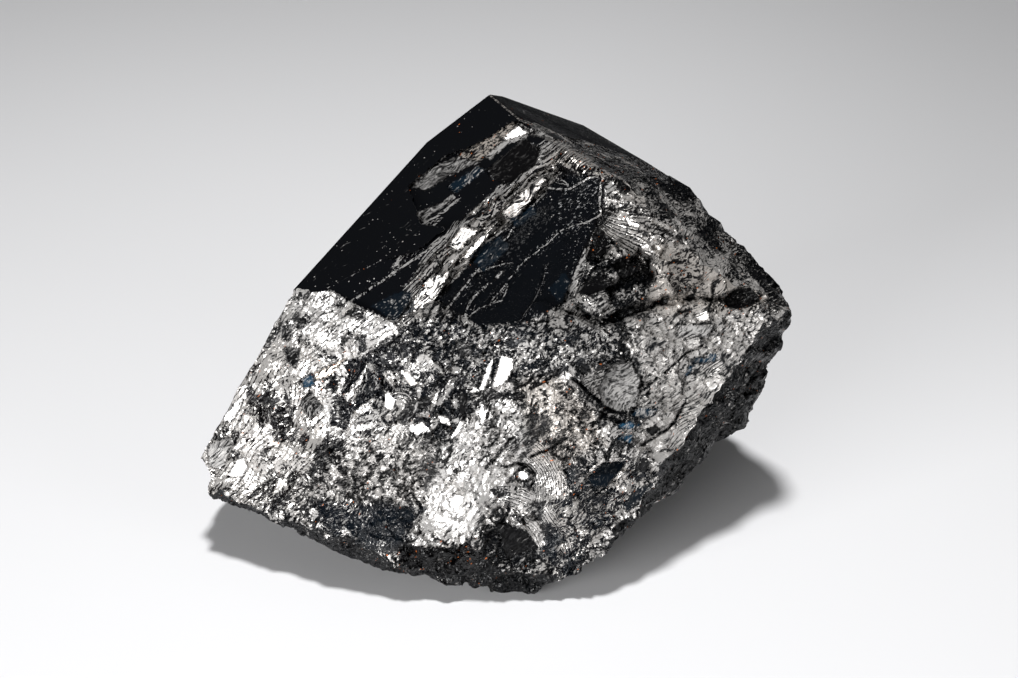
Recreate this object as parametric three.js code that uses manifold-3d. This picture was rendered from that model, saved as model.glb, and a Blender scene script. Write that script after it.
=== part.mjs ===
// A broken crystal of cassiterite, about 50 mm across, resting on a flat underside.
// Smooth pyramid and prism faces are left at the top and the back; the rest is fracture.
// It is one solid. Flat cuts make the crystal faces, and rough sheets, each with lumps
// and chips of its own, make the broken zones and sides between them.
//
// Everything is laid out in the frame of the main broken face, in millimetres:
// x to the right along it, y up it, z out of it. The last step leans that face back,
// so that the underside is flat on Z = 0.
import * as THREE from "three";
import { mergeVertices } from "three/addons/utils/BufferGeometryUtils.js";
import Module from "manifold-3d";

const LEAN = THREE.MathUtils.degToRad(35); // the broken face's axis rises this far above the horizontal
const UNDERSIDE = 18.3; // from the frame's origin down to the resting face
const BLANK = 120; // edge of the stock that the cuts are made in
const FRONT_PITCH = 0.8; // spacing of the points on the main broken face
const SIDE_PITCH = 1.5; // and on the broken sides
const GRAIN = THREE.MathUtils.degToRad(43); // the growth steps run this way across the face

const solidLibrary = await Module();
solidLibrary.setup();

// ---- Flat crystal faces: the outward direction, and the distance from the origin ----

const crystalFaces = {
  upperLeftPyramid: { out: [-0.385, 0.687, 0.616], distance: 11.38 },
  upperRightPyramid: { out: [0.38, 0.888, 0.259], distance: 17.4 },
  leftPrism: { out: [-0.794, 0.549, -0.259], distance: 15.2 },
  backPrism: { out: [0, 0.637, -0.77], distance: 18.9 },
  backRightPrism: { out: [0.662, 0.557, -0.501], distance: 20.1 },
  summitBevel: { out: [-0.585, 0.583, -0.564], distance: 15.9 },
};

// ---- Broken sides: the same, with the size and height of their lumps and chips ----

const brokenSides = {
  upperRight: { out: [0.58, 0.63, 0.51], distance: 16.2, lump: [9, 0.4], chip: [3.6, 0.3] },
  leftTip: { out: [-0.97, -0.12, -0.22], distance: 26.0, lump: [7, 0.3], chip: [2.8, 0.3] },
  rightEnd: { out: [0.95, -0.12, -0.28], distance: 23.9, lump: [7, 0.4], chip: [2.8, 0.3] },
  rightEndLow: { out: [0.85, -0.42, -0.3], distance: 22.9, lump: [8, 0.5], chip: [3.2, 0.35] },
  lowerRightBand: { out: [0.72, -0.48, 0.5], distance: 16.6, lump: [6, 0.4], chip: [2.8, 0.3] },
  lowerRightUnder: { out: [0.588, -0.784, -0.196], distance: 19.4, lump: [9, 0.8], chip: [3.8, 0.4] },
  lowerLeftBand: { out: [-0.415, -0.8, 0.434], distance: 19.3, lump: [7, 0.3], chip: [3, 0.3] },
  lowerLeftUnder: { out: [-0.288, -0.923, -0.256], distance: 20.0, lump: [9, 0.6], chip: [3.8, 0.4] },
  frontFoot: { out: [-0.08, -0.853, 0.522], distance: 17.5, lump: [6, 0.5], chip: [3, 0.3] },
  backFoot: { out: [-0.35, 0.15, -0.92], distance: 22.0, lump: [8, 0.8], chip: [3.6, 0.4] },
};

// ---- Zones of the main broken face: planes through the ridge that crosses it ----
// Each has its height over the middle of the ridge, and its slopes along x and up y.

const RIDGE_Y = 1;
const frontZones = {
  upper: { height: 9, slope: [-0.1, -0.4], lump: [8, 0], chip: [3, 0] },
  upperRight: { height: 11.6, slope: [-0.41, -0.35], lump: [7, 0.3], chip: [2.6, 0.3] },
  lowerMiddle: { height: 9, slope: [0, 0.36], lump: [8, 0.7], chip: [3.2, 0.4] },
  lowerLeft: { height: 11.5, slope: [0.42, 0.25], lump: [7, 0.8], chip: [3.4, 0.45] },
  lowerRight: { height: 12, slope: [-0.5, 0.2], lump: [7, 0.7], chip: [3, 0.4] },
  shoulder: { height: 15.4, slope: [0.73, -0.07], lump: [6, 0.3], chip: [2.6, 0.3] },
};

// ---- Features of the main broken face ----

const stairs = { top: 8.8, bottom: 6.2, count: 3, drop: 1.5, start: -7, end: 13.5, run: 4 };
const hollow = { along: 7.4, across: 3.3, length: 9.6, width: 4.4, depth: 2.6 }; // glassy, shell-shaped
const fin = { outline: [[6, 2.4], [12.2, 6.6], [10.4, 8.8]], under: 0.1 }; // stands at the hollow's right
const pocket = { outline: [[9.7, 4.4], [13.6, 5.2], [13.2, 7.2], [12.2, 7.9]], depth: 1.7 };
const crack = { outline: [[5.9, 2.7], [9, 1.2], [14.1, 3.1], [20.9, 3.8], [14.2, 3.9], [9, 2.1]], depth: 1.3 };
const cavity = { at: [21.2, 3.9], long: 1.7, wide: 0.95, turn: 0.3, depth: 1.6 };
const knobs = [
  { at: [8.3, 3.5], radius: 1.5, proud: 0.5 },
  { at: [4.0, 2.4], radius: 1.2, proud: 0.4 },
];
const bites = [
  // shell-shaped, as a centre, a radius and a depth
  { at: [10.5, -3.5], radius: 3.4, depth: 0.9 },
  { at: [4.6, -10.5], radius: 3.8, depth: 1.0 },
  { at: [2.6, -16.4], radius: 3.6, depth: 1.3 },
  { at: [-5.8, -11.0], radius: 5.4, depth: 0.9 },
  { at: [9.8, -12.4], radius: 3.2, depth: 1.0 },
  { at: [-8.2, -2.8], radius: 3.2, depth: 0.8 },
  { at: [16.0, -3.2], radius: 3.8, depth: 0.8 },
  { at: [-17.4, -7.0], radius: 3.0, depth: 0.7 },
  { at: [-13.6, -12.6], radius: 2.8, depth: 0.6 },
];

// Repeatable random number from 0 to 1.
function hash(i, j, k) {
  const s = Math.sin(i * 127.1 + j * 311.7 + k * 74.7) * 43758.5453;
  return s - Math.floor(s);
}

// Shell-shaped chips with sharp ridges between them, each tipped its own way.
// The middle height is zero, and most of it lies within the depth on either side.
function chips(x, y, size, depth, seed) {
  const u = x / size;
  const v = y / size;
  const bowl = 1.1;
  const tip = 1.1;
  const middle = 0.45;
  let lowest = Infinity;
  for (let i = Math.floor(u) - 1; i <= Math.floor(u) + 1; i++)
    for (let j = Math.floor(v) - 1; j <= Math.floor(v) + 1; j++) {
      const du = u - i - 0.15 - 0.7 * hash(i, j, seed);
      const dv = v - j - 0.15 - 0.7 * hash(i, j, seed + 1);
      const tipU = tip * (hash(i, j, seed + 2) - 0.5);
      const tipV = tip * (hash(i, j, seed + 3) - 0.5);
      const rise = 0.5 * hash(i, j, seed + 4);
      lowest = Math.min(lowest, bowl * (du * du + dv * dv) + tipU * du + tipV * dv + rise);
    }
  return 2 * depth * (lowest - middle);
}

const roughness = (x, y, zone, seed) =>
  chips(x, y, zone.lump[0], zone.lump[1], seed) + chips(x, y, zone.chip[0], zone.chip[1], seed + 5);

const smooth = (from, to, t) => THREE.MathUtils.smoothstep(t, from, to);
const zonePlane = (zone, x, y) => zone.height + zone.slope[0] * x + zone.slope[1] * (y - RIDGE_Y);
const faceHeight = (x, y) => Math.min(...Object.values(frontZones).map((zone) => zonePlane(zone, x, y)));

// A point under the upper left pyramid face, at the given drop below it.
function underPyramid(x, y, drop) {
  const { out, distance } = crystalFaces.upperLeftPyramid;
  return new THREE.Vector3(x, y, (distance - out[0] * x - out[1] * y) / out[2] - drop);
}

// Benches cut into that face: the two ends of the back edge, and a point of the front edge.
const benches = [
  { from: underPyramid(-12.1, 3.4, 0.4), to: underPyramid(0.3, 13, 0.4), front: underPyramid(-5, 5, 0.4) },
  { from: underPyramid(-7.3, 13.3, 0.6), to: underPyramid(2, 18.9, 0.6), front: underPyramid(0.4, 13, 1.3) },
];

// Growth steps falling from the pyramid face, and the glassy hollow they end in.
function upperRelief(x, y) {
  const p = x * Math.cos(GRAIN) + y * Math.sin(GRAIN);
  const q = y * Math.cos(GRAIN) - x * Math.sin(GRAIN);
  const step = (stairs.top - stairs.bottom) / stairs.count;
  const taken = THREE.MathUtils.clamp(Math.ceil((stairs.top - q) / step), 0, stairs.count);
  const fadeIn = smooth(stairs.start, stairs.start + stairs.run, p);
  const fadeOut = 1 - smooth(stairs.end, stairs.end + stairs.run, p);
  const rise = smooth(RIDGE_Y, RIDGE_Y + stairs.run, y);
  const steps = (stairs.drop * taken * fadeIn * fadeOut * rise) / stairs.count;
  const hp = (p - hollow.along) / hollow.length;
  const hq = (q - hollow.across) / hollow.width;
  return -Math.max(steps, hollow.depth * (1 - hp * hp - hq * hq));
}

// ---- Making and cutting solids ----

function solidFrom(geometry) {
  const bare = new THREE.BufferGeometry();
  bare.setAttribute("position", geometry.getAttribute("position"));
  bare.setIndex(geometry.index);
  const merged = mergeVertices(bare, 1e-5);
  return new solidLibrary.Manifold(
    new solidLibrary.Mesh({
      numProp: 3,
      vertProperties: merged.attributes.position.array,
      triVerts: new Uint32Array(merged.index.array),
    }),
  );
}

// A closed solid between a sheet of points and a floor far below it.
// The sheet is a square grid turned about Z, and height gives its z at (x, y).
function sheetBlock(reach, pitch, turn, height) {
  const count = Math.ceil((2 * reach) / pitch);
  const points = [];
  const faces = [];
  const at = (i, j) => i * (count + 1) + j;
  for (let i = 0; i <= count; i++)
    for (let j = 0; j <= count; j++) {
      const a = reach * ((2 * i) / count - 1);
      const b = reach * ((2 * j) / count - 1);
      const x = a * Math.cos(turn) - b * Math.sin(turn);
      const y = a * Math.sin(turn) + b * Math.cos(turn);
      points.push(x, y, height(x, y));
    }
  const floorStart = points.length / 3;
  const rim = [];
  for (let k = 0; k < count; k++) rim.push(at(k, 0));
  for (let k = 0; k < count; k++) rim.push(at(count, k));
  for (let k = count; k > 0; k--) rim.push(at(k, count));
  for (let k = count; k > 0; k--) rim.push(at(0, k));
  for (const r of rim) points.push(points[3 * r], points[3 * r + 1], -BLANK / 2);
  points.push(0, 0, -BLANK / 2);
  const centre = floorStart + rim.length;
  for (let i = 0; i < count; i++)
    for (let j = 0; j < count; j++) {
      faces.push(at(i, j), at(i + 1, j), at(i + 1, j + 1));
      faces.push(at(i, j), at(i + 1, j + 1), at(i, j + 1));
    }
  rim.forEach((r, k) => {
    const next = (k + 1) % rim.length;
    faces.push(r, floorStart + k, floorStart + next);
    faces.push(r, floorStart + next, rim[next]);
    faces.push(floorStart + next, floorStart + k, centre);
  });
  const geometry = new THREE.BufferGeometry();
  geometry.setAttribute("position", new THREE.Float32BufferAttribute(points, 3));
  geometry.setIndex(faces);
  return geometry;
}

// An upright prism over an outline, between two heights that may differ from corner to corner.
function prism(outline, bottomAt, topAt) {
  const count = outline.length;
  const bottom = outline.map(([x, y]) => [x, y, bottomAt(x, y)]);
  const top = outline.map(([x, y]) => [x, y, topAt(x, y)]);
  const faces = [];
  for (let k = 0; k < count; k++) {
    const next = (k + 1) % count;
    faces.push(k, next, count + next, k, count + next, count + k);
  }
  const corners = outline.map(([x, y]) => new THREE.Vector2(x, y));
  for (const [a, b, c] of THREE.ShapeUtils.triangulateShape(corners, []))
    faces.push(a, c, b, count + a, count + b, count + c);
  const geometry = new THREE.BufferGeometry();
  geometry.setAttribute("position", new THREE.Float32BufferAttribute([...bottom, ...top].flat(), 3));
  geometry.setIndex(faces);
  return solidFrom(geometry);
}

const facing = (out) =>
  new THREE.Matrix4().makeRotationFromQuaternion(
    new THREE.Quaternion().setFromUnitVectors(
      new THREE.Vector3(0, 0, 1),
      new THREE.Vector3(...out).normalize(),
    ),
  );

// The solid without what lies beyond a flat face.
function cutFlat(solid, { out, distance }) {
  const waste = new THREE.BoxGeometry(BLANK, BLANK, BLANK);
  waste.translate(0, 0, distance + BLANK / 2);
  return solid.subtract(solidFrom(waste.applyMatrix4(facing(out))));
}

// The solid without what lies beyond a rough side.
function cutRough(solid, side, seed) {
  const reach = 34;
  const offset = 50; // keeps the chips' pattern clear of its own middle
  const relief = (x, y) => side.distance + roughness(x + offset, y + offset, side, seed);
  const sheet = sheetBlock(reach, SIDE_PITCH, 0, relief);
  return solid.intersect(solidFrom(sheet.applyMatrix4(facing(side.out))));
}

// The solid with a bench cut into it, over its floor and in front of its back edge.
function cutBench(solid, { from, to, front }) {
  const back = to.clone().sub(from).normalize();
  const out = back.clone().cross(from.clone().sub(front)).normalize();
  const inward = out.clone().cross(back);
  const waste = new THREE.BoxGeometry(BLANK, BLANK, BLANK);
  waste.translate(BLANK / 2, -BLANK / 2, BLANK / 2);
  waste.applyMatrix4(new THREE.Matrix4().makeBasis(back, inward, out).setPosition(from));
  return solid.subtract(solidFrom(waste));
}

// ---- The main broken face ----

function frontSheet(zone, seed) {
  const reach = 36;
  const offset = 40;
  return sheetBlock(reach, FRONT_PITCH, GRAIN, (x, y) => {
    let z = zonePlane(zone, x, y) + roughness(x + offset, y + offset, zone, seed);
    if (zone === frontZones.upper) z += upperRelief(x, y);
    for (const bite of bites) {
      const r = Math.hypot(x - bite.at[0], y - bite.at[1]) / bite.radius;
      if (r < 1) z -= bite.depth * (1 - r * r);
    }
    return z;
  });
}

function knobSolid({ at, radius, proud }) {
  const ball = new THREE.IcosahedronGeometry(radius, 1);
  ball.translate(at[0], at[1], faceHeight(at[0], at[1]) + proud - radius);
  return solidFrom(ball);
}

function cavitySolid() {
  const ball = new THREE.SphereGeometry(1, 14, 8);
  ball.scale(cavity.long, cavity.wide, cavity.depth);
  ball.rotateZ(cavity.turn);
  ball.translate(cavity.at[0], cavity.at[1], faceHeight(cavity.at[0], cavity.at[1]));
  return solidFrom(ball);
}

const above = 6; // how far a cut's waste stands above the broken face
let crystal = solidFrom(new THREE.BoxGeometry(BLANK, BLANK, BLANK));
Object.values(frontZones).forEach((zone, n) => {
  crystal = crystal.intersect(solidFrom(frontSheet(zone, 3 + 11 * n)));
});
const finTop = (x, y) => faceHeight(x, y) - fin.under;
crystal = crystal.add(prism(fin.outline, () => 0, finTop));
for (const knob of knobs) crystal = crystal.add(knobSolid(knob));
for (const { outline, depth } of [pocket, crack]) {
  const floor = (x, y) => faceHeight(x, y) - depth;
  const top = (x, y) => faceHeight(x, y) + above;
  crystal = crystal.subtract(prism(outline, floor, top));
}
crystal = crystal.subtract(cavitySolid());

// ---- Crystal faces, broken sides and underside ----

for (const face of Object.values(crystalFaces)) crystal = cutFlat(crystal, face);
for (const bench of benches) crystal = cutBench(crystal, bench);
Object.values(brokenSides).forEach((side, n) => {
  crystal = cutRough(crystal, side, 90 + 11 * n);
});
crystal = cutFlat(crystal, { out: [0, -Math.cos(LEAN), -Math.sin(LEAN)], distance: UNDERSIDE });

// ---- The part ----

function geometryFrom(solid) {
  const mesh = solid.getMesh();
  const geometry = new THREE.BufferGeometry();
  geometry.setAttribute("position", new THREE.BufferAttribute(mesh.vertProperties, 3));
  geometry.setIndex(new THREE.BufferAttribute(mesh.triVerts, 1));
  return geometry;
}

const oreMaterial = new THREE.MeshStandardMaterial({ color: 0x1b1c20, roughness: 0.28, metalness: 0.35 });
const ore = new THREE.Mesh(geometryFrom(crystal), oreMaterial);
ore.name = "cassiterite_crystal";

const leaning = new THREE.Group();
leaning.rotation.x = Math.PI / 2 - LEAN;
leaning.position.z = UNDERSIDE;
leaning.add(ore);

const part = new THREE.Group();
part.add(leaning);

export default part;
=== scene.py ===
import bpy
import functools
import itertools
import math
import time
import numpy as np
from mathutils import Matrix, Vector


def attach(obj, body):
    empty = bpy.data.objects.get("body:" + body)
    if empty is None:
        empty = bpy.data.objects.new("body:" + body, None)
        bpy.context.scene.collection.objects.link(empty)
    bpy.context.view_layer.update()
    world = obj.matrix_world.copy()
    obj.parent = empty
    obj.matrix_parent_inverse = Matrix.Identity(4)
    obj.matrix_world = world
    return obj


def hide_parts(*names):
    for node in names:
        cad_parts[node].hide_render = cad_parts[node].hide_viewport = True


started = time.time()
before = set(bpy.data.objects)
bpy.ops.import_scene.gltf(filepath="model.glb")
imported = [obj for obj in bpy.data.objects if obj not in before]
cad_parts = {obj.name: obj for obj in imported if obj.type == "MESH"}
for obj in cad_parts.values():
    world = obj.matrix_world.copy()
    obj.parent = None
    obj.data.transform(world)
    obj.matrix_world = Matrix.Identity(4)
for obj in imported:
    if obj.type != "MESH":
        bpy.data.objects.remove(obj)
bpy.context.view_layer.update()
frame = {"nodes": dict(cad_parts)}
mm = 0.001
print("frame loaded:", ", ".join(frame["nodes"]))

# The stone is laid out in the frame of its broken front, in millimetres:
# x to the right along the front, y up it, z out of it. It is leaned back at the very end.
stone = {
    "lean": math.radians(35),
    "underside": 18.3,  # from the front's origin down to the resting face
    "grain": math.radians(43),  # growth steps run this way across the front
    "frontPitch": 0.135,  # between the grid points
    "sidePitch": 0.3,
    "jitter": 0.3,  # share of a pitch that a grid point strays, so no grid shows
    "frontReach": ((-28, 23.6), (-20.6, 17.6)),  # of the front's grid, along and across the grain
    "sideReach": 34,
    "sideMargin": 1.5,  # of fine grid past the part of a side that shows
    "block": 60,  # every cutting block reaches this far
    "blunt": 0.05,  # how much of the edge between the pyramid faces is gone
    "lit": (0.369, 0.167),  # slopes of a facet that mirrors the main light
    "sharpFrom": math.radians(12),  # edges that turn more than this stay sharp
}

# Flat crystal faces: outward direction and distance from the origin.
crystalFaces = {
    "upperLeftPyramid": ((-0.385, 0.687, 0.616), 11.38),
    "upperRightPyramid": ((0.38, 0.888, 0.259), 17.4),
    "leftPrism": ((-0.794, 0.549, -0.259), 15.2),
    "backPrism": ((0, 0.637, -0.77), 18.9),
    "backRightPrism": ((0.662, 0.557, -0.501), 20.1),
    "summitBevel": ((-0.585, 0.583, -0.564), 15.9),
}

# Broken sides: direction, distance, size and height of the lumps and of the chips, how much
# painted sheen they carry, and how much more next to the front.
brokenSides = {
    "upperRight": ((0.58, 0.63, 0.51), 16.2, (9, 0.4), (3.6, 0.3), 0.05, 0.34),
    "leftTip": ((-0.97, -0.12, -0.22), 26.0, (7, 0.3), (2.8, 0.3), 0.3, 0),
    "rightEnd": ((0.95, -0.12, -0.28), 23.9, (7, 0.4), (2.8, 0.3), 0.25, 0),
    "rightEndLow": ((0.85, -0.42, -0.3), 22.9, (8, 0.5), (3.2, 0.35), 0.2, 0),
    "lowerRightBand": ((0.72, -0.48, 0.5), 16.6, (6, 0.4), (2.8, 0.3), 0.05, 0),
    "lowerRightUnder": ((0.588, -0.784, -0.196), 19.4, (9, 0.8), (3.8, 0.4), 0.2, 0),
    "lowerLeftBand": ((-0.415, -0.8, 0.434), 19.3, (7, 0.3), (3, 0.3), 0.04, 0),
    "lowerLeftUnder": ((-0.288, -0.923, -0.256), 20.0, (9, 0.6), (3.8, 0.4), 0.2, 0),
    "frontFoot": ((-0.08, -0.853, 0.522), 17.5, (6, 0.5), (3, 0.3), 0.03, 0),
    "backFoot": ((-0.35, 0.15, -0.92), 22.0, (8, 0.8), (3.6, 0.4), 0.3, 0),
}

# Zones of the front: height over the ridge, slopes, lumps and chips.
ridgeY = 1.0
frontZones = {
    "upper": (9, (-0.1, -0.4), (8, 0), (3, 0)),
    "upperRight": (11.6, (-0.41, -0.35), (7, 0.3), (2.6, 0.3)),
    "lowerMiddle": (9, (0, 0.36), (8, 0.7), (3.2, 0.4)),
    "lowerLeft": (11.5, (0.42, 0.25), (7, 0.8), (3.4, 0.45)),
    "lowerRight": (12, (-0.5, 0.2), (7, 0.7), (3, 0.4)),
    "shoulder": (15.4, (0.73, -0.07), (6, 0.3), (2.6, 0.3)),
}


# Repeatable random numbers from 0 to 1, and the rough fields made from them.
def rand(i, j, k):
    s = np.sin(i * 127.1 + j * 311.7 + k * 74.7) * 43758.5453
    return s - np.floor(s)


def smooth(low, high, t):
    s = np.clip((t - low) / (high - low), 0, 1)
    return s * s * (3 - 2 * s)


def noise(x, y, size, seed):
    # smooth hills and dips from -1 to 1
    u, v = x / size, y / size
    i, j = np.floor(u), np.floor(v)
    fu, fv = u - i, v - j
    fu, fv = fu * fu * (3 - 2 * fu), fv * fv * (3 - 2 * fv)
    low = rand(i, j, seed) * (1 - fu) + rand(i + 1, j, seed) * fu
    high = rand(i, j + 1, seed) * (1 - fu) + rand(i + 1, j + 1, seed) * fu
    return 2 * (low * (1 - fv) + high * fv) - 1


def hills(x, y, size, seed, octaves=3):
    return sum(noise(x, y, size / 2**n, seed + 17 * n) / 2**n for n in range(octaves))


def cellsAround(u, v, seed, margin):
    # the nine cells round each point: their addresses, and the way there from their middles
    iu, iv, stray = np.floor(u), np.floor(v), 1 - 2 * margin
    for di, dj in itertools.product((-1, 0, 1), repeat=2):
        i, j = iu + di, iv + dj
        yield i, j, u - i - margin - stray * rand(i, j, seed), v - j - margin - stray * rand(i, j, seed + 1)


def chips(x, y, size, depth, seed):
    # shell-shaped chips with sharp ridges between them, as in the solid
    lowest = np.full_like(x, np.inf)
    for i, j, du, dv in cellsAround(x / size, y / size, seed, 0.15):
        tipU, tipV = (1.1 * (rand(i, j, seed + n) - 0.5) for n in (2, 3))
        rise = 0.5 * rand(i, j, seed + 4)
        lowest = np.minimum(lowest, 1.1 * (du**2 + dv**2) + tipU * du + tipV * dv + rise)
    return 2 * depth * (lowest - 0.45)


def nearestCell(u, v, seed):
    # the way from the nearest cell's middle, that cell's address, and how far off its edge is
    best, second = np.full_like(u, 9.0), np.full_like(u, 9.0)
    found = [np.zeros_like(u) for _ in range(4)]
    for i, j, du, dv in cellsAround(u, v, seed, 0.1):
        d = du * du + dv * dv
        closer = d < best
        second = np.where(closer, best, np.minimum(second, d))
        best = np.where(closer, d, best)
        found = [np.where(closer, new, old) for new, old in zip((du, dv, i, j), found)]
    return *found, np.sqrt(second) - np.sqrt(best)


def flakes(x, y, size, tilt, stretch, turn, swirl, bias, seed):
    # flat flakes, each tipped its own way and broken off along its edges: height, tone, gap
    x = x + 0.35 * size * noise(x, y, 1.3 * size, seed + 31)
    y = y + 0.35 * size * noise(x, y, 1.3 * size, seed + 32)
    a, b = x, y
    turn = np.full_like(x, math.radians(turn))
    own = 0
    if swirl:
        wx = x + 0.4 * swirl * noise(x, y, swirl, seed + 41)
        wy = y + 0.4 * swirl * noise(x, y, swirl, seed + 42)
        da, db, i, j, _ = nearestCell(wx / swirl, wy / swirl, seed + 7)
        a, b = da * swirl, db * swirl
        turn = math.pi * rand(i, j, seed + 9)
        own = 50 * rand(i, j, seed + 10)
    c, s = np.cos(turn), np.sin(turn)
    u = (a * c + b * s) / (stretch * size) + own
    v = (b * c - a * s) / size + own
    v = v + 0.25 * noise(u, v, 1.7, seed + 43)
    du, dv, i, j, edge = nearestCell(u, v, seed)
    du, dv = du * stretch * size, dv * size
    tiltU = tilt * (2 * rand(i, j, seed + 2) - 1) / stretch
    tiltV = tilt * (2 * rand(i, j, seed + 3) - 1)
    height = tiltU * du + tiltV * dv
    height += bias[0] * (du * c - dv * s) + bias[1] * (du * s + dv * c)
    tone = rand(i, j, seed + 4) - 0.5
    gap = (1 - smooth(0.0, 0.12, edge * size)) * min(1, (tilt / 0.4) ** 2)
    gap = gap * smooth(-0.5, 0.3, noise(x, y, 0.8, seed + 5))
    return height, tone, gap


def nearSegment(x, y, start, end):
    # distance from the line between two points
    (ax, ay), (bx, by) = start, end
    t = ((x - ax) * (bx - ax) + (y - ay) * (by - ay)) / ((bx - ax) ** 2 + (by - ay) ** 2)
    t = np.clip(t, 0, 1)
    return np.hypot(x - ax - t * (bx - ax), y - ay - t * (by - ay))


def within(x, y, outline, soft=0.1, ragged=0.0, seed=1):
    # 1 inside an outline of any shape, fading to 0 across its edge
    result = np.zeros_like(x)
    reach = soft + 2 * ragged
    pick = np.ones(x.shape, bool)
    for at, line in zip((x, y), zip(*outline)):
        pick &= (at > min(line) - reach) & (at < max(line) + reach)
    px, py = x[pick], y[pick]
    odd = np.zeros(px.shape, bool)
    near = np.full_like(px, np.inf)
    for start, end in zip(outline, outline[1:] + outline[:1]):
        (ax, ay), (bx, by) = start, end
        if ay != by:
            odd ^= ((ay > py) != (by > py)) & (px < (bx - ax) * (py - ay) / (by - ay) + ax)
        near = np.minimum(near, nearSegment(px, py, start, end))
    near = np.where(odd, near, -near)
    if ragged:
        near = near + ragged * hills(px, py, 4 * ragged, seed)
    result[pick] = smooth(-soft, soft, near)
    return result


def fromPath(x, y, path):
    # distance from a line of points, below zero on its right
    near = np.full_like(x, 99.0)
    for start, end in zip(path, path[1:]):
        (ax, ay), (bx, by) = start, end
        d = nearSegment(x, y, start, end)
        d = np.where((bx - ax) * (y - ay) < (by - ay) * (x - ax), -d, d)
        near = np.where(np.abs(d) < np.abs(near), d, near)
    return near


# Large shapes of the front, as in the solid.
stairs = {"top": 8.8, "bottom": 6.2, "count": 3, "drop": 1.5, "start": -7, "end": 13.5, "run": 4}
hollow = {"along": 7.4, "across": 3.3, "length": 9.6, "width": 4.4, "depth": 2.6}
fin = {"outline": [(6, 2.4), (12.2, 6.6), (10.4, 8.8)], "under": 0.1}
pocket = {"outline": [(9.7, 4.4), (13.6, 5.2), (13.2, 7.2), (12.2, 7.9)], "depth": 1.7}
crack = {"outline": [(5.9, 2.7), (9, 1.2), (14.1, 3.1), (20.9, 3.8), (14.2, 3.9), (9, 2.1)], "depth": 1.3}
cavity = {"at": (21.2, 3.9), "long": 1.7, "wide": 0.95, "turn": 0.3, "depth": 1.6}
knobs = [
    {"at": (8.3, 3.5), "radius": 1.5, "proud": 0.5},
    {"at": (4.0, 2.4), "radius": 1.2, "proud": 0.4},
]
bites = [  # shell-shaped: middle, radius, depth
    (10.5, -3.5, 3.4, 0.9), (4.6, -10.5, 3.8, 1), (2.6, -16.4, 3.6, 1.3), (-5.8, -11, 5.4, 0.9),
    (9.8, -12.4, 3.2, 1), (-8.2, -2.8, 3.2, 0.8), (16, -3.2, 3.8, 0.8), (-17.4, -7, 3, 0.7),
    (-13.6, -12.6, 2.8, 0.6),
]


def alongAcross(x, y):
    c, s = math.cos(stone["grain"]), math.sin(stone["grain"])
    return x * c + y * s, y * c - x * s


def planeOf(zone, x, y):
    return zone[0] + zone[1][0] * x + zone[1][1] * (y - ridgeY)


def faceHeight(x, y):
    return np.minimum.reduce([planeOf(zone, x, y) for zone in frontZones.values()])


def upperRelief(x, y):
    p, q = alongAcross(x, y)
    ragged = 0.14 * hills(x, y, 1.6, 61)
    step = (stairs["top"] - stairs["bottom"]) / stairs["count"]
    taken = np.clip(np.ceil((stairs["top"] - q + ragged) / step), 0, stairs["count"])
    fadeIn = smooth(stairs["start"], stairs["start"] + stairs["run"], p)
    fadeOut = 1 - smooth(stairs["end"], stairs["end"] + stairs["run"], p)
    rise = smooth(ridgeY, ridgeY + stairs["run"], y)
    steps = stairs["drop"] * taken * fadeIn * fadeOut * rise / stairs["count"]
    hp = (p - hollow["along"]) / hollow["length"]
    hq = (q - hollow["across"]) / hollow["width"]
    return -np.maximum(steps, hollow["depth"] * (1 - hp * hp - hq * hq))


def insideCavity(x, y):
    # 1 in the middle, 0 at the rim
    c, s = math.cos(cavity["turn"]), math.sin(cavity["turn"])
    dx, dy = x - cavity["at"][0], y - cavity["at"][1]
    return 1 - ((dx * c + dy * s) / cavity["long"]) ** 2 - ((dy * c - dx * s) / cavity["wide"]) ** 2


def frontShape(x, y):
    heights = []
    for n, (name, zone) in enumerate(frontZones.items()):
        seed = 3 + 11 * n
        z = planeOf(zone, x, y)
        if zone[2][1]:
            z = z + chips(x + 40, y + 40, *zone[2], seed) + chips(x + 40, y + 40, *zone[3], seed + 5)
        if name == "upper":
            z = z + upperRelief(x, y)
        heights.append(z)
    z = np.minimum.reduce(heights)
    for bx, by, radius, depth in bites:
        r = np.hypot(x - bx, y - by) / radius
        z = z - np.where(r < 1, depth * (1 - r * r), 0)
    plain = faceHeight(x, y)
    inFin = within(x, y, fin["outline"], 0.12)
    z = z + inFin * np.maximum(plain - fin["under"] - z, 0)
    for knob in knobs:
        kx, ky = knob["at"]
        left = knob["radius"] ** 2 - (x - kx) ** 2 - (y - ky) ** 2
        middle = faceHeight(kx, ky) + knob["proud"] - knob["radius"]
        top = middle + np.sqrt(np.maximum(left, 0))
        z = np.where(left > 0, np.maximum(z, top), z)
    for cut in (pocket, crack):
        inCut = within(x, y, cut["outline"], 0.2, 0.15, 71)
        z = z - inCut * np.maximum(z - plain + cut["depth"], 0)
    left = insideCavity(x, y)
    bottom = faceHeight(*cavity["at"]) - cavity["depth"] * np.sqrt(np.maximum(left, 0))
    return np.where(left > 0, np.minimum(z, bottom), z)
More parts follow.
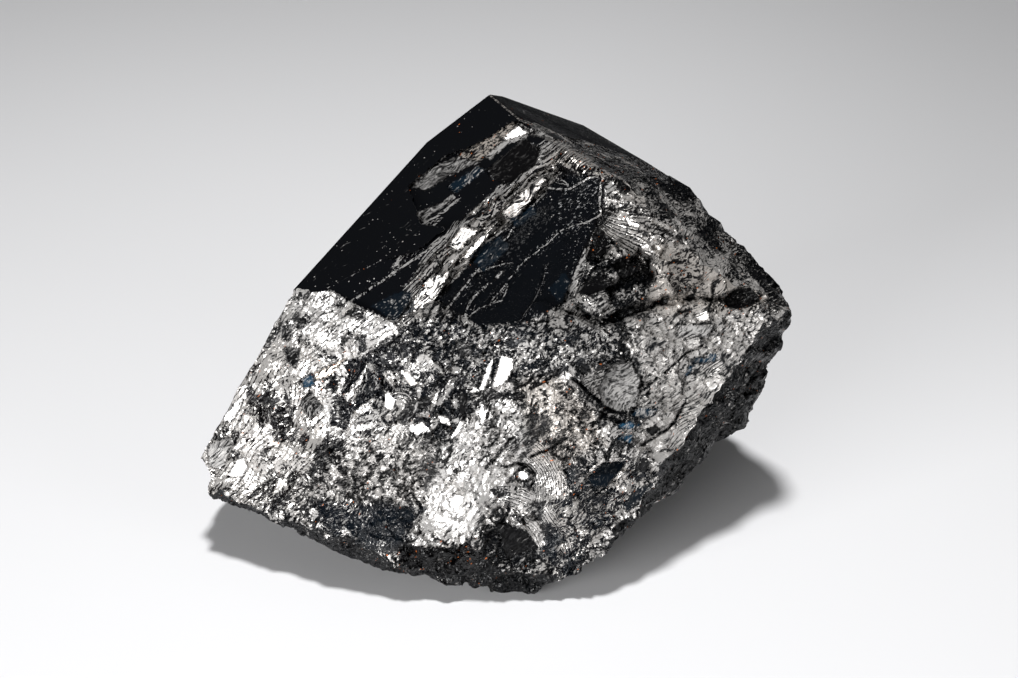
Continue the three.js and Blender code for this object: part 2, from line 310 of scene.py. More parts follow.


# Each patch of the front: its outline and how soft its edge is, then its layers of flakes (size,
# tilt, stretch, turn in degrees, swirl), how far they lean to the main light, and its finish.
# The first finish is painted sheen: silver, partly metal grains in the base colour that stand in for glints
# of light off the broken facets.
finishes = ("silver", "mottle", "streak", "glint", "rough", "rust", "blue")
patches = {
    "all": ([(-60, -60), (60, -60), (60, 60), (-60, 60)],
        0.1, [(1.3, 0.3, 1.6, 20, 0), (0.6, 0.4, 3, 0, 3.4)], 0.5, 0.45, 0.8, 0.2, 0.5, 0.28, 0.1, 0.1),
    "ridge": ([(-8, 1.2), (-6.5, -2.5), (-2, -3), (4, -2.5), (10, -1), (10, 1.2), (4.5, 1), (-1.5, 2)],
        0.6, [(0.5, 0.4, 1.6, 30, 0), (0.35, 0.4, 2, 30, 0)], 0.5, 0.62, 1.3, 0.1, 0.8, 0.25, 0.1, 0.2),
    "cap": ([(-18.2, 2.6), (-17.2, 4.2), (-16.7, 4.9), (-15, 5.1), (-12.7, 3.9), (-10.3, 2.6), (-8, 1.3),
        (-9.8, -0.6), (-11.5, -1.2), (-13.5, -0.6), (-15.5, 0.4), (-17, 0.6)],
        0.35, [(0.5, 0.35, 5, 38, 0), (1.6, 0.2, 1.5, 38, 0)], 0.8, 0.54, 1.3, 0.8, 0.3, 0.3, 0.05, 0),
    "flank": ([(-18.5, 0.4), (-15.5, 0), (-13.8, -3.5), (-13.5, -7), (-15.5, -9.5), (-16.5, -14.5),
        (-26, -14), (-26, -8.5), (-22, -3)],
        0.7, [(1.2, 0.28, 2, 50, 0), (0.5, 0.45, 3.5, 60, 0)], 0.72, 0.4, 1.4, 0.5, 0.35, 0.26, 0.2, 0),
    "swirls": ([(-13.9, 0), (-8, 0.2), (-2.5, -2), (-2, -5), (-4, -7.5), (-8.5, -9.5), (-12.5, -9.5),
        (-14.5, -6)],
        0.7, [(0.42, 0.7, 4.5, 0, 2.4)], 0.5, 0.3, 1, 0.3, 0.4, 0.22, 0.1, 0.15),
    "grain": ([(-12.5, -8.6), (-8, -7.2), (-4.8, -8.5), (-4.5, -11), (-6.5, -13.5), (-12, -14.2), (-16, -13)],
        0.8, [(0.45, 0.15, 1.5, 10, 0)], 0.9, 0.51, 0.65, 0, 0.8, 0.38, 0.15, 0),
    "river": ([(-1, -4.8), (1.5, -5), (3.2, -8), (2.4, -10.5), (0.5, -12.2), (-2, -16), (-6.5, -19),
        (-8.6, -17.5), (-5.6, -13), (-4.5, -9.5), (-2.2, -6.5)],
        0.6, [(0.9, 0.25, 1.6, 55, 0), (0.5, 0.3, 2.4, 60, 0)], 0.9, 0.9, 1, 0.3, 0.5, 0.3, 0.05, 0),
    "brown": ([(2, -3.5), (6, -2.8), (8.5, -5.5), (9.5, -8.5), (6, -11), (3.6, -9.6), (2.4, -6)],
        0.8, [(0.4, 0.15, 1.6, 60, 0)], 0.9, 0.45, 0.65, 0.1, 0.8, 0.42, 0.5, 0),
    "right": ([(11, 2.4), (17, 3.2), (24, 2.6), (26, -3), (21, -7), (17, -9), (12.5, -9), (12.2, -2)],
        0.9, [(1.3, 0.22, 1.6, 15, 0), (0.5, 0.25, 2, 10, 0)], 0.55, 0.74, 0.45, 0.5, 0.5, 0.4, 0.15, 0.15),
    "dusk": ([(-15.5, -13.4), (-9, -13.6), (-6, -14), (-8, -17.6), (-13, -17.6)],
        0.6, [(0.8, 0.4, 2.2, 150, 0)], 0, 0, 0.9, 0.4, 0.35, 0.22, 0.1, 0.22),
    "foot": ([(-8, -17.2), (-1, -17.4), (1.5, -21), (-8, -21)],
        0.3, [(1.3, 0.5, 1.5, 10, 0), (0.55, 0.4, 2, 0, 3)], 0, 0, 0.5, 0.2, 0.35, 0.2, 0.6, 0),
    "lowerRight": ([(5.2, -11), (8, -9.8), (12, -9.8), (14, -11), (9, -16), (6, -20), (3.8, -18), (5, -14)],
        0.6, [(1, 0.5, 1.8, 35, 0), (0.45, 0.3, 2, 35, 0)], 0.1, 0.38, 0.9, 0.4, 0.5, 0.25, 0.3, 0.2),
    "glass": ([(-5.4, 4.1), (-1.2, 1.5), (2.8, 1.9), (6.3, 3.6), (8.4, 9.6), (9.9, 10), (9.4, 13.9),
        (7.3, 15.1), (3.5, 13), (-2, 7.9)],
        0.15, [], 0, 0, 0, 0, 0.12, 0.1, 0, 0.12),
    "ledge": ([(-8.9, 2), (-7.4, 1.2), (-5.4, 3.4), (-2, 6.6), (0.5, 9.2), (4.3, 13), (8.6, 15.6), (5, 17.5),
        (2, 15.6), (0.3, 13), (-2.9, 10.3), (-5.4, 8.3), (-6.8, 5.5)],
        0.12, [(0.6, 0.4, 8, 43, 0)], 0.55, 0.3, 1.3, 1.2, 0.3, 0.22, 0.2, 0.1),
    "crest": ([(4, 14.6), (6, 16.8), (11, 14.6), (15.6, 11), (19, 8.6), (17.5, 8), (12.4, 11.5), (8.6, 14.2)],
        0.3, [(0.5, 0.5, 3, -35, 0)], 0.2, 0.3, 1.2, 0.6, 0.5, 0.25, 0.4, 0),
    "brow": ([(6.4, 17.6), (8, 17.4), (10, 17), (12.4, 16), (14.8, 14.4), (13.5, 13.9), (11, 14.9), (9, 15.5),
        (7, 16.6)],
        0.3, [(0.5, 0.3, 4, -22, 0)], 0, 0, 0.4, 0.9, 0.12, 0.2, 0.4, 0),
    "hackle": ([(8.6, 9.9), (9.6, 13.6), (12.4, 11.6), (16, 9), (18.5, 7.4), (14, 4.6), (10.8, 7.2),
        (7.4, 7)],
        0.3, [(0.45, 0.5, 3.4, -25, 0)], 0.6, 0.5, 1, 0.6, 0.3, 0.28, 0.2, 0),
    "slab": ([(13.6, 8.6), (19, 7.6), (22, 5.4), (24, 3.2), (19, 2.6), (12, 2.6), (13.4, 5.6)],
        0.6, [(1.5, 0.2, 1.8, 20, 0)], 0.3, 0.57, 0.7, 0.6, 0.3, 0.42, 0.5, 0),
}
lines = ("seam", "seamAway", "wave", "waveAt")  # how strong a seam or a ripple is, and how far off

# Finish of the flat crystal faces, of the broken sides, along the cut edges, where it adds a painted
# highlight, and of the plates.
faceFinish = dict(zip(finishes, (0.1, 0.05, 0.35, 0.01, 0.16, 0.02, 0.1)))
sideFinish = dict(zip(finishes, (0, 0.6, 0.4, 0.5, 0.28, 0.15, 0.1)))
# the cut edge carries more sheen than the faces: a painted highlight over a real narrow bevel
edgeFinishAndHighlight = dict(zip(finishes, (0.3, 1.4, 0.4, 0.3, 0.3, 0.5, 0)))
plateFinish = {**dict(zip(finishes, (0.5, 0.3, 0.6, 0.12, 0.3, 0, 0))), "seam": 0, "wave": 0}

# Single flat facets: outline, slopes ("lit" leans it to the main light, "kept" follows the
# surface), how much painted sheen, and what else differs from the finish of the plates.
plates = [
    ([(0.99, -1.1), (1.62, -1.25), (1.6, -2.1), (0.99, -3.28), (-0.14, -3.8), (-0.05, -3.1), (0.34, -2.1),
     (0.62, -1.1)], "lit", 1),
    ([(-0.1, -1.05), (0, -1.4), (-0.4, -3), (-0.77, -3.95), (-1.25, -4), (-1.1, -3.4), (-0.7, -2.3)],
     (0.25, 0.1), 0.8),
    ([(-3.2, -4.1), (-2.3, -4.3), (-2.35, -6.5), (-2.8, -5.9)], (-0.3, 0.3), 0.04, {"mottle": 0.6}),
    ([(-1.3, -4.1), (0.1, -3.95), (0.7, -4.4), (-0.5, -4.85), (-1.3, -4.7)], (-0.3, 0.3), 0.1,
     {"mottle": 1.2}),
    ([(-3.2, 0.1), (-2, 0), (-1.8, -0.8), (-2.9, -1.3)], (0, 0.1), 0.2, {"rough": 0.4}),
    ([(-8.2, -6.4), (-7, -4.85), (-5.6, -4.5), (-5.3, -5), (-6.5, -6), (-7.6, -6.9)], (0, 0.1), 0.2,
     {"rough": 0.4, "mottle": 0.2}),
    ([(1.8, -10.9), (2.6, -10.8), (3.1, -11.3), (2.6, -11.6), (2, -11.5)], "lit", 0.85),
    ([(-0.3, -12.3), (0.9, -12.2), (1.1, -12.8), (0.2, -13)], (-0.3, 0.3), 0.1, {"mottle": 1.2}),
    ([(-24.5, -8.75), (-22.6, -8), (-22.2, -8.5), (-23.2, -10.8), (-24.4, -10.6)], (0.1, -0.05), 0.55,
     {"streak": 1}),
    ([(-22.7, -11.4), (-21.9, -9.9), (-21.3, -9.8), (-21, -10.6), (-21.5, -11.4)], "lit", 0.85),
    ([(-23.1, -6.3), (-21.5, -4.5), (-21.4, -5.1), (-22.1, -6.5), (-23, -6.8)], (0.2, 0.1), 0.6),
    ([(-9.2, -4.2), (-8.7, -4.1), (-8.3, -4.8), (-8.5, -5.8), (-9.2, -5.4)], (0.3, 0.15), 0.75),
    ([(-7.9, -2.25), (-7.2, -2.4), (-6.3, -3.4), (-7, -3.65)], (0.2, 0.1), 0.75, {"rust": 0.3}),
    ([(-16.2, -3.1), (-15.4, -2.6), (-15, -3.6), (-16, -3.8)], (0, 0), 0.2, {"blue": 0.75, "mottle": 0.6}),
    ([(-15.2, -2.6), (-12.4, -1.2), (-13.8, -2.8), (-15, -3.15)], (0.28, 0.12), 0.7, {"rust": 1.5,
     "streak": 1}),
    ([(-17.8, -0.4), (-16.4, -0.5), (-16.7, -2.1), (-17.5, -1.6)], (-0.1, 0), 0.25),
    ([(-16.5, -5.1), (-15.5, -4.1), (-14.4, -5.5), (-15.6, -6.5)], (-0.1, -0.1), 0.35),
    ([(-7.3, -7), (-6, -6.6), (-5.3, -7.4), (-6.5, -7.8)], (0.28, 0.1), 0.7, {"streak": 1}),
    ([(-4.9, -5.85), (-3.7, -6.4), (-3.6, -7), (-4.6, -6.6)], (0.25, 0.1), 0.65, {"streak": 1}),
    ([(-3.8, -8.1), (-2.8, -6.5), (-2.5, -6.8), (-3.3, -8.1)], (0.28, 0.12), 0.7, {"streak": 1}),
    ([(-1.2, -5.1), (-0.9, -5.1), (-0.6, -6.4), (-1.1, -6.9)], (0.3, 0.1), 0.8, {"streak": 0.8}),
    ([(0.1, -15.1), (2.7, -16), (3.7, -17.4), (1.1, -18.3)], (-0.2, 0.2), 0.03, {"mottle": 0.15}),
    ([(8.8, -3.9), (9.9, -1.8), (11.5, -1.7), (12.4, -3.2), (12, -5.3), (10.6, -5.8), (9.3, -5.3)],
     (-0.1, 0.1), 0.48, {"rough": 0.45, "streak": 0.35, "mottle": 0.35}),
    ([(8, -11.4), (9.3, -10.1), (11.1, -10.1), (9.6, -12.1), (8.4, -12.1)], (-0.3, -0.3), 0, {"blue": 0.25}),
    ([(9.9, 6.6), (10.8, 7.2), (12.4, 6.1), (10.9, 5.3)], (-0.2, -0.3), 0),
    ([(6.9, 4.25), (8, 5.2), (8.8, 5.8), (10.2, 4.9), (8, 4)], (-0.2, -0.3), 0),
    ([(15.5, 1.5), (18.6, 1.6), (18.1, 0.5), (15.5, 0.5)], (-0.3, 0.1), 0.5, {"rough": 0.4}),
    ([(16.9, 2.4), (18, 2.9), (18.3, 1.9), (17.2, 1.6)], (0.2, 0.1), 0.7, {"rust": 0.2, "streak": 1}),
    # dark pits and blue flashes low on the right
    ([(12.9, -7.3), (13.6, -7), (14, -7.3), (13.4, -7.8)], (-0.4, 0.4), 0),
    ([(11.8, -10.2), (12.6, -9.7), (13.2, -10.1), (12.7, -10.8), (12, -10.8)], (-0.4, 0.4), 0),
    ([(10.9, -13.8), (12, -12.2), (13.6, -11.9), (12.9, -13), (11.3, -14.3)], (-0.3, 0.2), 0.12,
     {"blue": 0.25, "mottle": 0.6}),
    ([(16.7, -1.8), (17.2, -1.2), (18.8, -1), (18.6, -1.6), (17.2, -1.8)], (-0.2, 0.2), 0.3, {"blue": 0.8}),
    ([(16.1, -2.7), (16.5, -1.9), (16.8, -2), (16.4, -2.9)], (-0.2, 0.2), 0.3, {"blue": 1}),
    ([(10.5, -7.1), (10.8, -6.7), (12.2, -6.9), (11.8, -7.2)], (-0.2, 0.2), 0.25, {"blue": 1}),
    ([(10.3, -8.2), (10.6, -7.8), (11.9, -7.6), (11.4, -8.2)], (-0.2, 0.2), 0.3, {"blue": 0.8}),
    ([(11.6, -6), (12.4, -5.5), (13.8, -5.6), (13, -6.3)], (-0.2, 0.2), 0.38, {"blue": 0.5, "mottle": 0.8}),
    ([(18.8, -6.1), (19.3, -5.7), (20.2, -5.8), (19.6, -6.2)], (-0.2, 0.2), 0.3, {"blue": 0.7}),
    ([(19.1, -4.9), (19.9, -4.4), (20.6, -4.8), (19.8, -5.1)], (-0.2, 0.2), 0.4, {"blue": 0.5}),
    # grey shards along the edge of the dark shelf
    ([(5.9, 3.4), (6.5, 3.8), (7.9, 7), (7.7, 8.2), (7, 6.5)], (-0.1, 0), 0.5, {"streak": 0.9,
     "rough": 0.35}),
    ([(9.3, 13.2), (9.9, 13.8), (10.4, 13.3), (9.9, 12.4), (9.4, 12.3)], (0, 0), 0.5, {"streak": 0.6}),
    ([(-0.2, 5.2), (0.4, 5.4), (0.9, 6.2), (0.5, 6)], (0, 0), 0.45, {"streak": 0.8}),
    # growth ledge
    ([(0.2, 10.6), (1.1, 11.9), (4.1, 14), (4.5, 13.8), (2.6, 11.3), (0.7, 9.9)], (0.2, 0.05), 0.6,
     {"rust": 0.3, "streak": 2.2}),
    ([(-2.6, 9.86), (-1.2, 9.5), (-3.06, 7.65), (-4, 8.1)], (0.22, 0.05), 0.66, {"rust": 0.2, "streak": 2}),
    ([(-5.6, 5.4), (-3.5, 6.2), (-4.6, 3.9), (-6.4, 2.6), (-8, 1.9), (-6.8, 3.7)], (0.22, 0.05), 0.62,
     {"rust": 0.2, "streak": 2.2}),
    ([(-3.4, 6.4), (-2.1, 7.1), (-0.6, 8.8), (0.2, 9.7), (-0.1, 10), (-1.4, 8.8), (-2.9, 7.1)], (0.25, 0.08),
     0.6, {"rust": 0.3, "streak": 2.2}),
    # blue-green glow under the dark glassy part
    ([(-2.1, 7.2), (-0.6, 8.6), (0.5, 9), (1.4, 8.3), (0.2, 6.9), (-0.9, 6)], "kept", 0.1, {"blue": 0.32}),
    ([(1.3, 10.5), (3.3, 11.6), (3.5, 10.9), (1.8, 9.7)], "kept", 0.16, {"blue": 0.34}),
    ([(-8.2, 4.2), (-6.9, 4.4), (-6.6, 2.8), (-8.4, 1.9), (-10.4, 3.1)], "kept", 0.12, {"blue": 0.24,
     "mottle": 0.5}),
    ([(4.6, 4.6), (6, 6), (6.6, 5), (5.4, 3.4)], "kept", 0.08, {"blue": 0.24}),
    # steps on the large pyramid face
    ([(-7.3, 13.3), (-6.1, 14.55), (-4.2, 15.6), (-1.5, 16.7), (-1.1, 15.4), (-3.4, 14.4), (-5.8, 13)],
     (0.5, -0.8), 0.37, {"rough": 0.3, "streak": 0.25, "mottle": 0.15}),
    ([(-3.2, 16), (-1.8, 16.9), (-0.8, 17.3), (-0.5, 15.9), (-1.4, 15.5)], (0.45, -0.8), 0.3, {"rust": 0.8,
     "mottle": 1.5, "glint": 0.4}),
    ([(-1.2, 17.2), (1.6, 19.1), (1.9, 18.6), (-0.6, 15.8)], (0.4, -0.8), 0.4, {"rust": 0.8, "mottle": 1.4}),
    ([(0.6, 17.3), (2, 18.6), (2.9, 17.9), (1.8, 17.3)], "lit", 0.85, {"streak": 0.9}),
    ([(-0.7, 15.9), (0.8, 17.2), (2.9, 17.8), (2.7, 17.5), (1.2, 16.9), (-0.4, 15.6)], (0.3, -0.4), 0.75,
     {"streak": 1.4}),
    ([(2.9, 18.3), (5.2, 17.8), (5.9, 17.4), (4.4, 17.4), (3, 17.8)], (0.2, -0.5), 0.36, {"streak": 1}),
    ([(-4.1, 13.3), (-1.4, 15), (-0.6, 14.8), (-3.2, 12.75)], (0.6, -0.6), 0.2, {"blue": 0.34,
     "streak": 0.8}),
    ([(-6.7, 11.05), (-4.25, 12.1), (-3.5, 12.75), (-3.1, 12.2), (-5.4, 10.8), (-6, 10.1)], (0.5, -0.8), 0.38,
     {"rough": 0.3, "streak": 0.3, "mottle": 0.2}),
    ([(-0.6, 14.7), (2.6, 17.4), (4, 16.5), (3.6, 15.2), (1.1, 13.35), (-0.3, 14)], (0, -0.5), 0.27,
     {"rough": 0.3, "streak": 0.1, "mottle": 0.1}),
]

# Narrow seams: path, width, and how bright a painted highlight along a ridge, or below zero how dark a
# painted shade, where they are a groove too.
seams = [
    ([(6.7, -3), (7.9, -4.3), (9.9, -5.7), (10.9, -5.9)], 0.16, -1),
    ([(3.2, -9.6), (4.4, -9), (6.2, -8)], 0.1, -1),
    ([(-12.1, 3.4), (-9.7, 5.05), (-5.8, 7.65), (-3.4, 9.5), (-0.6, 12.2), (0.4, 13)], 0.1, 1),
    ([(-8.4, 6.5), (-7.3, 8.2), (-5.9, 10.1)], 0.1, 0.8),
    ([(-8.4, 6.5), (-6.3, 8.8), (-4.8, 10.2)], 0.12, 0.9),
    ([(-6, 10.1), (-4.6, 11), (-3.1, 12.1)], 0.12, 1),
    ([(0.1, 12.6), (0.5, 13.1)], 0.3, 1),
    ([(4.1, 16.4), (3.6, 15), (1.4, 13)], 0.14, 1),
    ([(-1.4, 17.1), (-4.4, 15.9), (-7.2, 13.4)], 0.07, 0.5),
    ([(-4.8, 1.8), (-1.8, 5.6), (0.7, 8.6), (4.2, 12.6)], 0.09, 0.8),
    ([(-1.4, 5.95), (-0.2, 6.3), (1.1, 6.7)], 0.06, 0.8),
    ([(-2.6, 1.9), (-1.9, 3.65), (-0.7, 4.8)], 0.12, 0.8),
    ([(-2.9, 1.4), (-1.2, 2.9), (0.6, 3.5), (1.1, 4.7)], 0.07, 0.7),
    ([(-0.4, 3.3), (2.8, 7.2), (5, 8.8), (5.9, 9.7), (7.6, 10.1)], 0.06, 0.7),
    ([(2.4, 2.2), (3.9, 4.4), (4.5, 6.6)], 0.05, 0.4),
    ([(9.2, 14), (9, 12.5), (9, 10.8), (7.6, 10.1)], 0.1, 0.8),
    ([(4.6, 13.1), (6.4, 13), (8, 14), (9.2, 14)], 0.09, 0.8),
    ([(7, 16.1), (9, 14.7), (10.7, 13.9), (12.4, 12.6), (14.5, 10.9), (17.5, 8.75)], 0.13, 0.9),
    ([(2, 18.8), (4.6, 17.4), (7, 16.1)], 0.1, 0.6),
    ([(2, 19.2), (3.3, 19.1), (4.1, 18.7), (5.9, 17.5), (6.6, 17)], 0.1, 0.8),
    ([(7.8, 17), (9.2, 17.15), (10.9, 16.9)], 0.09, 0.8),
    ([(9.4, 16.1), (10.7, 15.9), (12.3, 15)], 0.1, 0.7),
    ([(6.5, 16.2), (5.9, 16.2), (5.3, 15.8), (5, 15.2), (5, 14.5), (5.4, 14), (6, 13.7), (6.3, 13.4)], 0.06,
     1),
    ([(1, -10.5), (1.9, -10.1), (3, -10.4), (3.4, -11.2)], 0.14, -1),
    ([(6.1, 3.3), (7.2, 6.2), (8.4, 9.2)], 0.09, 0.7),
    ([(7.2, 4.4), (8.1, 6.2), (9.4, 6.9)], 0.09, 0.7),
    ([(10.2, -15.4), (11.6, -14.4), (12.9, -13.3), (13.9, -11.9)], 0.14, 0.8),
    ([(7.6, -11.4), (8.9, -10), (10.2, -9.8)], 0.14, 0.9),
    ([(9.7, -12.2), (10.6, -11.1), (11.3, -10.2)], 0.16, 0.9),
    ([(12.4, -8.6), (13.6, -8), (15.4, -6.6), (16.2, -5)], 0.12, -1),
    ([(14.4, -2.6), (15.8, -1.2), (17.6, -0.2)], 0.1, -1),
]
seamRelief = {"bright": 0.05, "dark": -0.4}

# Ripples round a shell-shaped break, and hackles that fan out from a point: middle, radii,
# angles in degrees, pitch in mm or in degrees, strength, painted sheen, and the patch they keep to.
ripples = [
    ((-0.2, -18.9), (4.2, 7.2), (12, 85), 0.24, 0.4, 0.6, "all"),
    ((0.9, -12.3), (2.6, 5.2), (-20, 55), 0.22, 0.25, 0.52, "all"),
    ((-10.6, -9.6), (2.8, 4.6), (35, 75), 0.24, 0.35, 0.7, "all"),
    ((-8, -5.4), (0.7, 1.7), (-40, 150), 0.3, 0.5, 0.4, "swirls"),
    ((9.9, -6.5), (2.4, 4.6), (60, 130), 0.3, 0.16, 0.45, "all"),
    ((10.6, 0.8), (1.8, 4), (110, 165), 0.34, 0.45, 0.5, "all"),
]
fans = [
    ((7.3, 11.3), (2.2, 7.4), (-42, -6), 4.2, 0.5, 0.45, "hackle"),
    ((-38.7, -25.8), (38, 68), (38, 48), 0.36, 0.6, 0.38, "ledge"),
    ((-36.6, -15.5), (20, 40), (28, 44), 0.7, 0.3, 0.72, "cap"),
    ((-35.9, -31.4), (18, 44), (46, 68), 0.8, 0.25, 0.66, "flank"),
    ((5.4, 0.2), (2.6, 5), (25, 75), 6, 0.35, 0.5, "all"),
    ((30, 12), (12, 26), (180, 205), 1.1, 0.25, 0.3, "crest"),
    ((-40, 38), (44, 62), (-30, -20), 0.42, 0.45, -0.1, "brow"),
    ((-30.3, -41.9), (56.5, 64), (35.5, 40.5), 0.3, 0.2, 0.5, "right"),
]

# What runs over all the patches, as sizes in mm and strengths.
overall = {
    "calmSize": 2.2,  # smooth spots among the flakes
    "calmRelief": 0.6,
    "calmSheen": 0.3,
    "foldSize": 2.1,  # folds with painted shade in them and a painted highlight on their rims
    "foldDepth": 0.12,
    "foldDark": 0.7,
    "driftSize": 4.5,  # slow change of tone
    "drift": 0.3,
    "gapDark": 0.9,  # painted shade in the cracks between two flakes
    # depths over which the pits fill with painted shade
    "darkDepth": (0.9, 1.5),
}


def slopesOf(z, x, y):
    zi, zj = np.gradient(z)
    xi, xj = np.gradient(x)
    yi, yj = np.gradient(y)
    flat = xi * yj - xj * yi
    return (zi * yj - zj * yi) / flat, (zj * xi - zi * xj) / flat


def setFinish(look, mask, finish):
    for key, value in finish.items():
        look[key] += mask * (value - look[key])


def patchLook(x, y, slopeX=0, slopeY=0):
    # relief of the flakes, and how the surface looks at every point
    look = {key: np.zeros_like(x) for key in (*finishes, *lines, "relief", "tone", "gap")}
    look["seamAway"] += 9
    slopes = [np.broadcast_to(np.clip(s, -1, 1), x.shape) for s in (slopeX, slopeY)]
    for n, (outline, edge, layers, lightward, *finish) in enumerate(patches.values()):
        mask = within(x, y, outline, edge, 0.5 * edge, 200 + n)
        on = mask > 0
        px, py = x[on], y[on]
        here = {key: np.full_like(px, value) for key, value in zip(finishes, finish)}
        here.update({key: np.zeros_like(px) for key in ("relief", "tone", "gap")})
        total = sum(layer[1] for layer in layers)
        for k, (size, tilt, stretch, turn, swirl) in enumerate(layers):
            share = tilt / total * lightward
            bias = [share * (lit - slope[on]) for lit, slope in zip(stone["lit"], slopes)]
            relief, tone, gap = flakes(px, py, size, tilt, stretch, turn, swirl, bias, 1000 + 97 * n + 13 * k)
            here["relief"] += relief
            here["tone"] += tilt / total * tone * min(1.5, 0.2 + 0.3 * stretch)
            here["gap"] = np.maximum(here["gap"], gap)
        for key, value in here.items():
            look[key][on] += mask[on] * (value - look[key][on])
    # smooth spots here and there among the flakes
    calm = smooth(0.55, 0.8, hills(x, y, overall["calmSize"], 261)) * smooth(0.05, 0.2, look["silver"])
    look["silver"] *= 1 - overall["calmSheen"] * calm
    for key in ("relief", "mottle", "glint", "gap"):
        look[key] *= 1 - overall["calmRelief"] * calm
    # the folds run roughly along the grain
    p, q = alongAcross(x + noise(x, y, 3, 262), y + noise(x, y, 3, 263))
    step = 0.05
    line, nextP, nextQ = (hills((p + dp) / 3, q + dq, overall["foldSize"], 264, 3)
                          for dp, dq in ((0, 0), (step, 0), (0, step)))
    away = np.abs(line) / (np.hypot(nextP - line, nextQ - line) / step + 0.1)
    fold = (1 - smooth(0.04, 0.15, away)) - 0.3 * (1 - smooth(0.03, 0.1, np.abs(away - 0.24)))
    fold *= smooth(0, 0.35, hills(x, y, 1.7, 265, 2)) * smooth(0.05, 0.25, look["silver"])
    fold *= smooth(0.2, 0.9, look["mottle"])
    # painted shade down the folds and a painted highlight along their rims, over a shallow dip
    look["relief"] -= overall["foldDepth"] * fold
    look["silver"] -= overall["foldDark"] * fold
    tone = look["mottle"] * look["tone"] + 0.2 * look["streak"] * noise(x, y, 2.2, 271)
    drift = overall["drift"] * np.minimum(look["silver"], 0.5) * hills(x, y, overall["driftSize"], 281, 2)
    # the cracks between flakes get painted shade
    look["silver"] = np.clip(look["silver"] + tone + drift - overall["gapDark"] * look["gap"], 0, 1)
    return look


def heightOn(face, x, y, drop=0):
    (ox, oy, oz), distance = crystalFaces[face]
    return (distance - ox * x - oy * y) / oz - drop


# Flat steps below the upper faces: face, outline, three points with their drops, and the finish.
benches = [
    ("upperLeftPyramid", [(-12.2, 3.2), (0.2, 13.1), (2, 10), (12, 2), (0, -4), (-9, 2)],
     ((-12.1, 3.4, 0.4), (0.3, 13, 0.4), (-5, 5, 0.4)), faceFinish),
    ("upperLeftPyramid", [(-15.2, 5), (-14.4, 4.75), (-12.7, 3.9), (-8.9, 2), (-7.9, 1.3), (-7.5, 2.9),
     (-5.9, 6.2), (-5.3, 8), (-9.7, 7), (-13, 5.9)],
     ((-15, 4.75, -0.38), (-8, 1.3, 4.3), (-6, 8, 0.5)), faceFinish),
    ("upperLeftPyramid", [(-7.4, 13.4), (-4.4, 16), (-1.3, 17.2), (2, 19), (9, 16), (6, 8), (0, 12.9),
     (-3.4, 9.6), (-6.2, 10)],
     ((-7.3, 13.3, 0.6), (2, 18.9, 0.6), (0.4, 13, 1.3)), faceFinish),
    ("upperRightPyramid", [(6.4, 17.6), (8, 17.5), (10, 17.1), (12.4, 16.2), (15, 14.6), (16, 12), (6, 14)],
     ((6.4, 17.7, 0.12), (15, 14.6, 0.2), (9, 15.2, 1.1)),
     {"silver": 0, "mottle": 0.4, "streak": 0.9, "glint": 0.1, "rough": 0.18, "rust": 0.4}),
    ("upperRightPyramid", [(2.1, 19.25), (3.6, 18.9), (5.2, 18.2), (6.8, 17.5), (6.2, 16.4), (2.6, 17.4)],
     ((2.1, 19.2, 0.05), (6.8, 17.5, 0.1), (4.2, 17, 0.7)),
     {"silver": 0.2, "mottle": 0.6, "streak": 1, "glint": 0.15, "rust": 0.3}),
]


def benchAt(x, y, face, outline, corners):
    start, end, front = (np.array((px, py, heightOn(face, px, py, drop))) for px, py, drop in corners)
    nx, ny, nz = np.cross(end - start, front - start)
    floor = start[2] - (nx * (x - start[0]) + ny * (y - start[1])) / nz
    return np.where(within(x, y, outline, 0.02, 0.03, 91) > 0.5, floor, np.inf)


def combed(look, x, y, fan, middle, radii, angles, pitch, strength, silver, patch):
    # lays one set of ripples or hackles: where it is, its phase, and calmer flakes under it
    r = np.hypot(x - middle[0], y - middle[1]) + 0.15 * hills(x, y, 1.9, 77)
    angle = np.degrees(np.arctan2(y - middle[1], x - middle[0])) + 30 * noise(x, y, 2.5, 79) / (radii[0] + 4)
    angle = (angle - sum(angles) / 2 + 180) % 360 - 180
    half, edge = (angles[1] - angles[0]) / 2, 40 / (radii[0] + 4)
    mask = smooth(radii[0] - 0.2, radii[0] + 0.1, r) * (1 - smooth(radii[1] - 0.5, radii[1] + 0.2, r))
    mask *= 1 - smooth(half - edge, half + edge, np.abs(angle))
    mask *= within(x, y, patches[patch][0], 0.3, 0.2, 92)
    mask *= smooth(-0.5, 0.1, hills(x, y, 1.6, 93, 2))
    look["waveAt"] = np.where(mask > 0, (angle if fan else r) / pitch, look["waveAt"])
    setFinish(look, mask, {"wave": strength * (1 + 0.8 * noise(x, y, 0.8, 94)), "silver": silver})
    setFinish(look, 0.6 * mask, {"mottle": 0.2, "glint": 0.2})
    return mask


